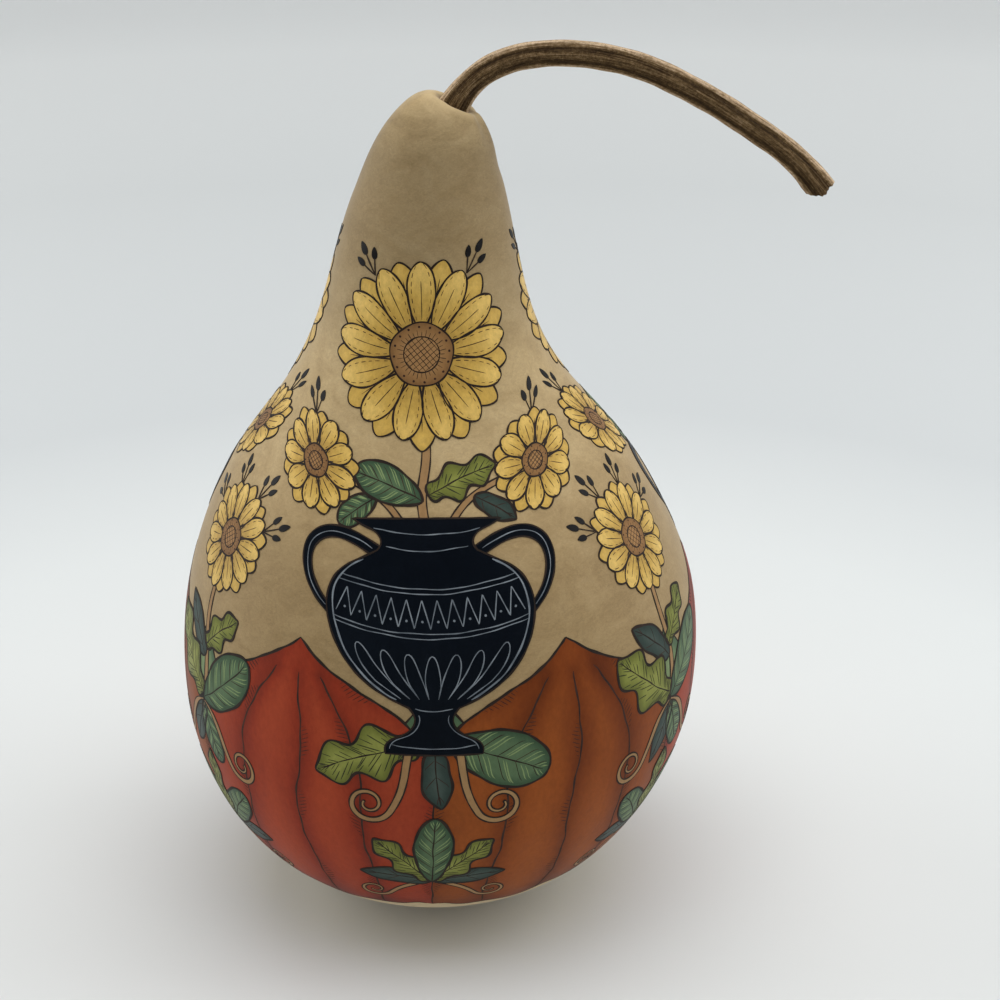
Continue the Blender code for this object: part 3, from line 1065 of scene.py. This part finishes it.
class Shader:
    """A Principled material whose nodes are added by short calls."""

    def __init__(self, name, roughness=0.5, specular=0.5, sheen=0.0):
        self.material = bpy.data.materials.new(name)
        self.material.use_nodes = True
        self.tree = self.material.node_tree
        self.surface = self.tree.nodes["Principled BSDF"]
        self.surface.inputs["Roughness"].default_value = roughness
        self.surface.inputs["Specular IOR Level"].default_value = specular
        self.surface.inputs["Sheen Weight"].default_value = sheen
        self.surface.inputs["Sheen Roughness"].default_value = SHEEN_ROUGHNESS
        self.place = self.tree.nodes.new("ShaderNodeTexCoord").outputs["Object"]

    def node(self, kind, inputs=None, **settings):
        made = self.tree.nodes.new(kind)
        for key, value in settings.items():
            setattr(made, key, value)
        for key, value in (inputs or {}).items():
            self.set(made.inputs[key], value)
        return made

    def set(self, socket, value):
        if isinstance(value, bpy.types.NodeSocket):
            self.tree.links.new(value, socket)
        else:
            socket.default_value = value

    def noise(self, scale, detail=4.0, roughness=0.55, stretch=(1.0, 1.0, 1.0), distortion=0.0, vector=None):
        vector = vector or self.place
        if stretch != (1.0, 1.0, 1.0):
            vector = self.node("ShaderNodeMapping", {"Vector": vector, "Scale": stretch}).outputs[0]
        values = {"Vector": vector, "Scale": scale, "Detail": detail}
        values.update({"Roughness": roughness, "Distortion": distortion})
        return self.node("ShaderNodeTexNoise", values).outputs["Fac"]

    def attribute(self, name, output="Fac"):
        return self.node("ShaderNodeAttribute", attribute_name=name).outputs[output]

    def ramp(self, factor, stops):
        made = self.node("ShaderNodeValToRGB", {"Fac": factor})
        ends = made.color_ramp.elements
        for number, (position, colour) in enumerate(stops):
            stop = ends[number] if number < 2 else ends.new(position)
            stop.position = position
            stop.color = (*colour, 1.0)
        return made.outputs["Color"]

    def grey(self, factor, low, high, to_low=0.0, to_high=1.0):
        values = {"Value": factor, "From Min": low, "From Max": high, "To Min": to_low, "To Max": to_high}
        return self.node("ShaderNodeMapRange", values).outputs["Result"]

    def mix(self, factor, first, second, blend="MIX"):
        made = self.node("ShaderNodeMix", data_type="RGBA", blend_type=blend)
        self.set(made.inputs["Factor"], factor)
        colour_sockets = [s for s in made.inputs if s.type == "RGBA"]
        for socket, value in zip(colour_sockets, (first, second)):
            self.set(socket, (*value, 1.0) if isinstance(value, tuple) else value)
        return next(s for s in made.outputs if s.type == "RGBA")

    def grain(self, colour, fine, low, high):
        """The colour made a little darker and lighter by a fine noise."""
        level = self.grey(fine, 0.3, 0.7, low, high)
        tint = self.node("ShaderNodeCombineColor", {0: level, 1: level, 2: level}).outputs[0]
        return self.mix(1.0, colour, tint, "MULTIPLY")

    def math(self, operation, first, second=0.0):
        made = self.node("ShaderNodeMath", operation=operation)
        self.set(made.inputs[0], first)
        self.set(made.inputs[1], second)
        return made.outputs[0]

    def moved(self, tone, noise, share, middle=0.0):
        """The tone moved up and down by a share of a noise, counted from the noise's middle."""
        away = self.math("SUBTRACT", noise, middle)
        return self.math("ADD", tone, self.math("MULTIPLY", away, share))

    def bump(self, height, distance, strength):
        values = {"Height": height, "Distance": distance, "Strength": strength}
        self.set(self.surface.inputs["Normal"], self.node("ShaderNodeBump", values).outputs["Normal"])

    def finish(self, colour, roughness=None):
        self.set(self.surface.inputs["Base Color"], colour)
        if roughness is not None:
            self.set(self.surface.inputs["Roughness"], roughness)
        return self.material


TAN_DARK = (0.355, 0.248, 0.117)
TAN = (0.460, 0.335, 0.170)
TAN_PALE = (0.554, 0.420, 0.230)
CREAM = (0.64, 0.51, 0.31)
# The brown of the blossom scar, also used as painted shade down in the dimple round the stem.
SCAR_BROWN_AND_DIMPLE_SHADE = (0.12, 0.07, 0.035)
RIND_HEIGHT = 0.30
# Painted light and shade along the rind's height: the belly is darkened most as painted shade, the shoulder
# and waist much less, the neck is darkened again as painted shade, and the top of the crown is left near full
# tone as a painted highlight.
PAINTED_LIGHT_AND_SHADE_BY_HEIGHT = (  # share of the rind's height, and the colour that its tan is multiplied by there
    (0.12, (1.0, 1.0, 1.0)),
    (0.25, (0.73, 0.70, 0.67)),
    (0.50, (0.73, 0.70, 0.67)),
    (0.56, (0.83, 0.81, 0.79)),
    (0.62, (0.95, 0.95, 0.95)),
    (0.71, (0.97, 0.97, 0.97)),
    (0.77, (0.77, 0.765, 0.76)),
    (0.83, (0.64, 0.625, 0.61)),
    (0.89, (0.575, 0.56, 0.545)),
    (0.93, (0.56, 0.55, 0.54)),
    (0.965, (0.70, 0.695, 0.685)),
    (1.00, (0.96, 0.96, 0.95)),
)


def rind_material():
    s = Shader("rind", roughness=0.58, specular=0.12, sheen=0.16)
    clouds = s.noise(9.0, 3.0, 0.5)
    mottle = s.noise(60.0, 7.0, 0.68, stretch=(1.0, 1.0, 1.5), distortion=0.9)
    suede = s.noise(620.0, 5.0, 0.8, stretch=(1.0, 1.0, 1.6), distortion=1.2)
    tone = s.math("ADD", s.math("MULTIPLY", clouds, 0.35), s.math("MULTIPLY", mottle, 0.65))
    colour = s.ramp(s.grey(tone, 0.30, 0.70), ((0.0, TAN_DARK), (0.5, TAN), (1.0, TAN_PALE)))
    colour = s.grain(colour, suede, 0.84, 1.15)
    blotch = s.noise(26.0, 5.0, 0.6, distortion=0.5)
    colour = s.mix(s.grey(blotch, 0.56, 0.80, 0.0, 0.24), colour, (0.28, 0.195, 0.10))
    specks = s.noise(260.0, 2.0, 0.4)
    colour = s.mix(s.grey(specks, 0.70, 0.82, 0.0, 0.28), colour, (0.22, 0.15, 0.08))
    height = s.node("ShaderNodeSeparateXYZ", {0: s.place}).outputs["Z"]
    colour = s.mix(s.grey(s.moved(height, clouds, 0.006), 0.040, 0.020), colour, CREAM)
    radius = s.node("ShaderNodeVectorMath", {0: s.place}, operation="LENGTH").outputs["Value"]
    colour = s.mix(s.grey(radius, 0.0055, 0.0025, 0.0, 0.85), colour, SCAR_BROWN_AND_DIMPLE_SHADE)
    # Painted light and shade: the tan is multiplied by a tone that follows the height.
    share = s.grey(s.moved(height, mottle, 0.012, 0.5), 0.0, RIND_HEIGHT)
    colour = s.mix(1.0, colour, s.ramp(share, PAINTED_LIGHT_AND_SHADE_BY_HEIGHT), "MULTIPLY")
    near = s.attribute("near_stem")
    # Painted highlight: a pale rim on the lip round the stem.
    colour = s.mix(s.grey(near, 3.6, 0.8, 0.0, 0.62), colour, TAN_PALE)
    # Painted shade: darker down in the dimple round the stem's foot.
    colour = s.mix(s.grey(near, -0.6, -3.2, 0.0, 0.85), colour, SCAR_BROWN_AND_DIMPLE_SHADE)
    s.bump(s.moved(suede, mottle, 1.5), 0.00012, 0.30)
    return s.finish(colour, s.grey(mottle, 0.3, 0.7, 0.52, 0.66))


MATT = {"roughness": 0.58, "specular": 0.10, "mottle": 0.10, "speckle": 0.0, "sheen": 0.14}


def paint_material(name, dark, middle, light, changes):
    """Matt craft paint: soft shading from the film's own numbers, uneven brushwork and a fine grain."""
    roughness, specular, mottle, speckle, sheen = {**MATT, **changes}.values()
    s = Shader(name, roughness=roughness, specular=specular, sheen=sheen)
    brush = s.noise(85.0, 6.0, 0.66, stretch=(1.0, 1.0, 0.30), distortion=0.7)
    cloud = s.noise(15.0, 3.0, 0.5)
    fine = s.noise(620.0, 4.0, 0.75, stretch=(1.0, 1.0, 0.6))
    tone = s.moved(s.attribute("shade"), brush, 4.0 * mottle, 0.5)
    tone = s.moved(tone, cloud, 6.0 * mottle, 0.5)
    colour = s.ramp(tone, ((0.0, dark), (0.55, middle), (1.0, light)))
    colour = s.grain(colour, fine, 0.88 - speckle, 1.10 + speckle)
    s.bump(s.moved(fine, brush, 2.0), 0.00008, 0.3)
    return s.finish(colour, s.grey(brush, 0.3, 0.7, roughness - 0.07, roughness + 0.07))


def line_material(name, colour, other):
    s = Shader(name, roughness=0.65, specular=0.2)
    return s.finish(s.mix(s.grey(s.noise(180.0, 3.0), 0.35, 0.65), colour, other))


def stem_material():
    s = Shader("dry_stem", roughness=0.75, specular=0.12)
    fibre = s.attribute("fibre", "Vector")
    crest = s.attribute("crest")
    long_streak = s.noise(3.2, 5.0, 0.65, vector=fibre, stretch=(1.0, 1.0, 0.6))
    fine_streak = s.noise(19.0, 6.0, 0.8, vector=fibre, stretch=(1.0, 1.0, 0.16), distortion=0.7)
    pores = s.noise(950.0, 4.0, 0.7)
    tone = s.math("MULTIPLY", s.math("POWER", crest, 0.7), 0.68)
    for streak, share, middle in ((fine_streak, 2.1, 0.5), (long_streak, 1.1, 0.36), (pores, 0.8, 0.5)):
        tone = s.moved(tone, streak, share, middle)
    stops = (
        (0.0, (0.022, 0.011, 0.004)),
        (0.30, (0.066, 0.037, 0.013)),
        (0.62, (0.25, 0.158, 0.074)),
        (1.0, (0.76, 0.57, 0.38)),
    )
    colour = s.ramp(tone, stops)
    cut = s.mix(s.grey(fine_streak, 0.35, 0.65), (0.40, 0.29, 0.17), (0.17, 0.11, 0.06))
    colour = s.mix(s.attribute("cut_end"), colour, cut)
    s.bump(s.moved(fine_streak, pores, 0.5), 0.0006, 0.7)
    return s.finish(colour)


# Each paint's darkest, middle and lightest colour, and how its finish differs from the usual matt one.
PAINTS = {
    "petals_red": (
        (0.105, 0.012, 0.006), (0.245, 0.029, 0.010), (0.360, 0.055, 0.019),
        {"mottle": 0.12, "sheen": 0.09},
    ),
    "petals_orange": (
        (0.082, 0.015, 0.002), (0.184, 0.040, 0.006), (0.292, 0.074, 0.013),
        {"mottle": 0.12, "sheen": 0.09},
    ),
    "sepals": ((0.050, 0.085, 0.045), (0.080, 0.135, 0.068), (0.180, 0.240, 0.110), {}),
    "urns": (
        (0.0015, 0.0026, 0.005), (0.0024, 0.0042, 0.0075), (0.005, 0.008, 0.013),
        {"roughness": 0.45, "specular": 0.04, "mottle": 0.15, "sheen": 0.02},
    ),
    "gold_petals": (
        (0.33, 0.19, 0.035), (0.53, 0.335, 0.070), (0.72, 0.49, 0.14),
        {"roughness": 0.48, "specular": 0.18, "mottle": 0.09, "speckle": 0.06},
    ),
    "flower_centres": ((0.14, 0.066, 0.024), (0.26, 0.135, 0.050), (0.34, 0.185, 0.072), {}),
    "leaves_olive": ((0.085, 0.092, 0.018), (0.165, 0.180, 0.036), (0.250, 0.265, 0.060), {}),
    "leaves_forest": ((0.022, 0.050, 0.026), (0.055, 0.098, 0.050), (0.090, 0.145, 0.072), {}),
    "leaves_slate": ((0.016, 0.028, 0.024), (0.034, 0.054, 0.045), (0.060, 0.084, 0.070), {}),
    "leaf_lights": ((0.12, 0.18, 0.08), (0.20, 0.27, 0.115), (0.28, 0.36, 0.16), {}),
    "tendrils": ((0.20, 0.105, 0.040), (0.33, 0.195, 0.085), (0.42, 0.27, 0.125), {}),
    "buds": (
        (0.002, 0.002, 0.002), (0.004, 0.003, 0.003), (0.008, 0.007, 0.006),
        {"roughness": 0.42, "specular": 0.12, "sheen": 0.02},
    ),
}
LINES = {
    "burned_lines": ((0.010, 0.006, 0.003), (0.024, 0.012, 0.007)),
    "bloom_outlines": ((0.010, 0.006, 0.003), (0.024, 0.012, 0.007)),
    "leaf_lines": ((0.018, 0.020, 0.008), (0.036, 0.036, 0.012)),
    "fine_marks": ((0.016, 0.008, 0.005), (0.045, 0.018, 0.010)),
    "scratched_lines": ((0.10, 0.12, 0.14), (0.22, 0.25, 0.28)),
}


def make_paint():
    draw_everything()
    for name, (dark, middle, light, finish) in PAINTS.items():
        material = paint_material(name + "_paint", dark, middle, light, finish)
        COATS[name].make(material)
    for name, (colour, other) in LINES.items():
        COATS[name].make(line_material(name, colour, other))


# Floor, light and camera

STAGE_RIM = 1.7
STAGE_BEND = 1.1
STAGE_SIDES = 96
CAMERA_PLACE = (0.023, -0.700, 0.4614)
CAMERA_PITCH_DEG = 66.0
CAMERA_LENS = 77.4
CAMERA_SENSOR = 36.0


def make_stage():
    """A pale floor that curves up into a wall all round, its tone graded with painted light and shade."""
    flat = np.linspace(0.0, STAGE_RIM, 24)[1:]
    bend = np.linspace(0.0, 0.5 * math.pi, 18)[1:]
    radii = np.concatenate([flat, STAGE_RIM + STAGE_BEND * np.sin(bend)])
    heights = np.concatenate([0.0 * flat, STAGE_BEND * (1.0 - np.cos(bend))])
    circle = on_circle(round_turns(STAGE_SIDES))
    rings = [np.insert(radius * circle, 2, height, axis=1) for radius, height in zip(radii, heights)]
    points = np.vstack([*rings, [0.0, 0.0, 0.0]])
    faces = (ring_walls(len(rings), STAGE_SIDES), fan(STAGE_SIDES, len(points) - 1))
    floor = make_mesh("floor", points, [flipped(group) for group in faces], floor_material())
    floor.data.shade_smooth()


def floor_material():
    s = Shader("floor", roughness=0.6, specular=0.3)
    flat = s.node("ShaderNodeVectorMath", {0: s.place, 1: (1.0, 1.0, 0.0)}, operation="MULTIPLY").outputs[0]
    radius = s.node("ShaderNodeVectorMath", {0: flat}, operation="LENGTH").outputs["Value"]
    # Painted light and shade on the stage: pale in the middle, darker in a ring about half a metre out, and
    # paler again further out and up the wall.
    stops = (
        (0.0, (0.73, 0.735, 0.72)),
        (0.07, (0.70, 0.715, 0.705)),
        (0.13, (0.67, 0.695, 0.69)),
        (0.20, (0.58, 0.605, 0.61)),
        (0.40, (0.65, 0.675, 0.675)),
        (0.60, (0.84, 0.865, 0.86)),
        (1.0, (0.93, 0.95, 0.95)),
    )
    return s.finish(s.ramp(s.grey(radius, 0.0, 2.4), stops))


def area_light(name, place, target, size, power):
    data = bpy.data.lights.new(name, "AREA")
    data.shape = "RECTANGLE"
    data.size, data.size_y = size
    data.energy = power
    lamp = bpy.data.objects.new(name, data)
    lamp.location = place
    lamp.rotation_euler = (Vector(target) - Vector(place)).to_track_quat("-Z", "Y").to_euler()
    bpy.context.scene.collection.objects.link(lamp)


def make_lights():
    middle = (0.0, 0.0, 0.15)
    area_light("left_panel", (-1.30, 0.25, 0.65), middle, (1.0, 1.2), 8.2)
    area_light("right_panel", (1.25, 0.15, 0.85), middle, (1.0, 1.2), 8.0)
    area_light("top_panel", (0.10, 0.0, 2.00), (0.1, 0.0, 0.0), (2.2, 2.2), 37.5)
    world = bpy.data.worlds.new("studio")
    world.use_nodes = True
    backdrop = world.node_tree.nodes["Background"]
    backdrop.inputs["Color"].default_value = (0.97, 0.98, 1.0, 1.0)
    backdrop.inputs["Strength"].default_value = 0.20
    bpy.context.scene.world = world


def make_camera():
    data = bpy.data.cameras.new("camera")
    data.lens = CAMERA_LENS
    data.sensor_width = CAMERA_SENSOR
    camera = bpy.data.objects.new("camera", data)
    camera.location = CAMERA_PLACE
    camera.rotation_euler = (math.radians(CAMERA_PITCH_DEG), 0.0, 0.0)
    bpy.context.scene.collection.objects.link(camera)
    bpy.context.scene.camera = camera


def set_view():
    view = bpy.context.scene.view_settings
    view.view_transform = "Standard"
    view.look = "None"
    view.exposure = 0.0
    view.gamma = 1.0


make_camera()
make_stage()
make_lights()
set_view()
make_rind()
make_stem()
make_paint()
